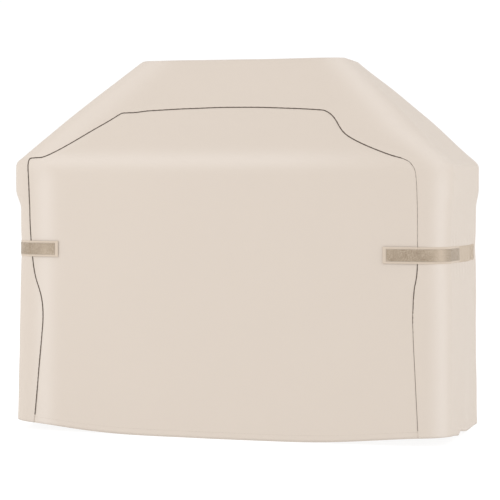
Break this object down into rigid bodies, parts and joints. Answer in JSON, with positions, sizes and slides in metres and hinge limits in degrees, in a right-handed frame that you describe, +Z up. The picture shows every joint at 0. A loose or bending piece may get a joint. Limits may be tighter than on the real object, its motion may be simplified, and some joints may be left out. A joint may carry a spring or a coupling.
{
  "type": "grill cover",
  "caption": "Fitted cloth cover for a free-standing grill, with a sloped hood, shaped front seam, turned hem and hook-and-loop side straps.",
  "frame": {"origin": "on the ground under the middle of the cover, at the bottom centre of its bounding box", "axes": "+X to the cover's right seen from the front, +Y towards the back, +Z up; the front faces -Y"},
  "size_m": [1.473, 0.6234, 1.225],
  "materials": {
    "cloth": "matt coated polyester cloth with a fine even weave",
    "binding": "narrow brown seam binding",
    "seam_tape": "smooth translucent waterproof sealing tape",
    "thread": "twisted polyester thread",
    "loop_tape": "soft napped loop pile",
    "hook_tape": "stiff woven tape with rows of small hooks",
    "rough_tape": "rough speckled hook-and-loop tape",
    "webbing": "smooth close-woven strap"
  },
  "bodies": {
    "cover": {"wrap_panel": "cloth", "front_panel": "cloth", "back_panel": "cloth", "front_seam_binding": "binding", "back_seam_binding": "binding", "front_seam_tape": "seam_tape", "back_seam_tape": "seam_tape", "hem_band": "cloth", "hem_stitching": "thread", "left_strap_anchor": "webbing", "left_anchor_stitching": "thread", "left_anchor_backing": "cloth", "left_landing_patch": "loop_tape", "right_strap_anchor": "webbing", "right_anchor_stitching": "thread", "right_anchor_backing": "cloth", "right_landing_patch": "loop_tape"},
    "left_strap": {"left_strap_wrap": "webbing", "left_wrap_tape": "rough_tape", "left_tape_stitching": "thread"},
    "left_strap_tip_end": {"left_strap_tip": "webbing", "left_tip_tape": "rough_tape", "left_hook_tape": "hook_tape"},
    "right_strap": {"right_strap_wrap": "webbing", "right_wrap_tape": "rough_tape", "right_tape_stitching": "thread"},
    "right_strap_tip_end": {"right_strap_tip": "webbing", "right_tip_tape": "rough_tape", "right_hook_tape": "hook_tape"}
  },
  "joints": [
    {"name": "left_strap_swing", "type": "hinge", "parent": "cover", "child": "left_strap", "pos_m": [-0.72641, 0.12, 0.593], "axis": [0, 0, -1], "range_deg": [0, 150]},
    {"name": "left_tip_peel", "type": "hinge", "parent": "left_strap", "child": "left_strap_tip_end", "pos_m": [-0.65216, -0.30635, 0.593], "axis": [0, 0, -1], "range_deg": [0, 150]},
    {"name": "right_strap_swing", "type": "hinge", "parent": "cover", "child": "right_strap", "pos_m": [0.72641, 0.12, 0.593], "axis": [0, 0, 1], "range_deg": [0, 150]},
    {"name": "right_tip_peel", "type": "hinge", "parent": "right_strap", "child": "right_strap_tip_end", "pos_m": [0.65216, -0.30635, 0.593], "axis": [0, 0, 1], "range_deg": [0, 150]}
  ]
}
